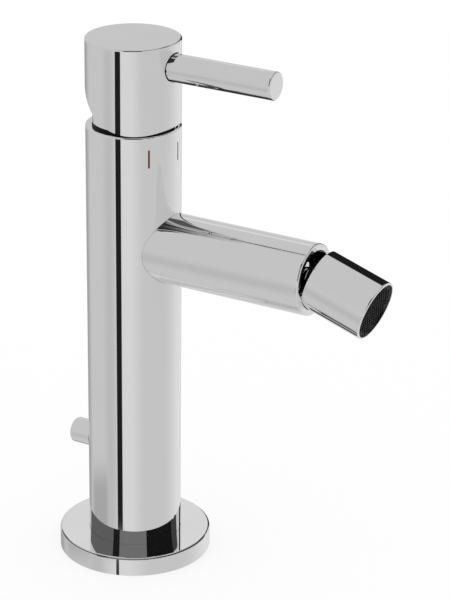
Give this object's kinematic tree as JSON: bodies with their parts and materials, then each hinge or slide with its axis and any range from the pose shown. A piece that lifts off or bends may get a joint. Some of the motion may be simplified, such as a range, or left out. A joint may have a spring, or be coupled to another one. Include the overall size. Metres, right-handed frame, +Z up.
{
  "type": "bidet mixer tap",
  "caption": "Single-lever bidet mixer: round column on a flange, straight spout with a swivelling ball nozzle, lever cap over a ceramic-disc cartridge, and a rear pull knob for the waste.",
  "frame": {"origin": "centre of the base underside, at the mouth of the fixing stud hole", "axes": "+X along the spout and the lever, +Y to the user's right (cold side), +Z up the column"},
  "size_m": [0.1285, 0.0558, 0.1963],
  "materials": {
    "chrome": "polished chrome plate on brass",
    "brass": "turned brass",
    "copper": "drawn copper tube",
    "steel": "ground stainless steel",
    "rubber": "moulded black rubber",
    "black_plastic": "moulded black plastic",
    "grey_plastic": "moulded grey plastic",
    "white_plastic": "moulded white plastic",
    "ceramic": "lapped alumina",
    "red_enamel": "red enamel",
    "blue_enamel": "blue enamel"
  },
  "bodies": {
    "mixer_body": {"column_tube": "chrome", "hot_mark": "red_enamel", "cold_mark": "blue_enamel", "base_flange": "chrome", "base_gasket": "rubber", "base_block": "brass", "hot_riser_tube": "copper", "cold_riser_tube": "copper", "riser_sealing_rings": "rubber", "valve_core": "brass", "spout_tube": "chrome", "spout_insert": "chrome", "insert_sealing_ring": "rubber", "ball_stud": "chrome", "cartridge_base": "grey_plastic", "port_seals": "rubber", "fixed_ceramic_disc": "ceramic", "cartridge_housing": "white_plastic", "cartridge_nut": "brass", "dome_bonnet": "chrome", "dome_foot_band": "black_plastic"},
    "rotor": {"cartridge_rotor": "grey_plastic", "pivot_pin": "steel"},
    "handle": {"handle_cap": "chrome", "lever_rod": "chrome", "cartridge_stem": "brass", "grub_screw": "steel"},
    "mixing_disc": {"disc_carrier": "grey_plastic", "moving_ceramic_disc": "ceramic"},
    "ball_swivel": {"ball_liner": "black_plastic"},
    "nozzle": {"nozzle_shell": "chrome", "ball_socket": "brass", "retaining_ring": "grey_plastic", "aerator_gasket": "rubber", "aerator_jet_plate": "grey_plastic", "aerator_grille": "black_plastic"},
    "waste_pull": {"pull_knob": "chrome", "rod_slider": "brass", "lift_rod": "steel"}
  },
  "joints": [
    {"name": "temperature_turn", "type": "hinge", "parent": "mixer_body", "child": "rotor", "pos_m": [0, 0, 0.1653], "axis": [0, 0, 1], "range_deg": [-39.5, 7.5]},
    {"name": "flow_lift", "type": "hinge", "parent": "rotor", "child": "handle", "pos_m": [0, 0, 0.1653], "axis": [0, -1, 0], "range_deg": [0, 25]},
    {"name": "disc_slide", "type": "slide", "parent": "rotor", "child": "mixing_disc", "axis": [1, 0, 0], "range_m": [0, 0.0053]},
    {"name": "nozzle_swivel", "type": "hinge", "parent": "mixer_body", "child": "ball_swivel", "pos_m": [0.0774, 0, 0.121], "axis": [1, 0, 0], "continuous": true},
    {"name": "nozzle_tilt", "type": "hinge", "parent": "ball_swivel", "child": "nozzle", "pos_m": [0.0774, 0, 0.121], "axis": [0, -1, 0], "range_deg": [0, 36]},
    {"name": "knob_pull", "type": "slide", "parent": "mixer_body", "child": "waste_pull", "axis": [0, 0, 1], "range_m": [0, 0.018]}
  ],
  "couplings": [
    {"joint": "disc_slide", "follows": "flow_lift", "m_per_rad": 0.012107}
  ]
}
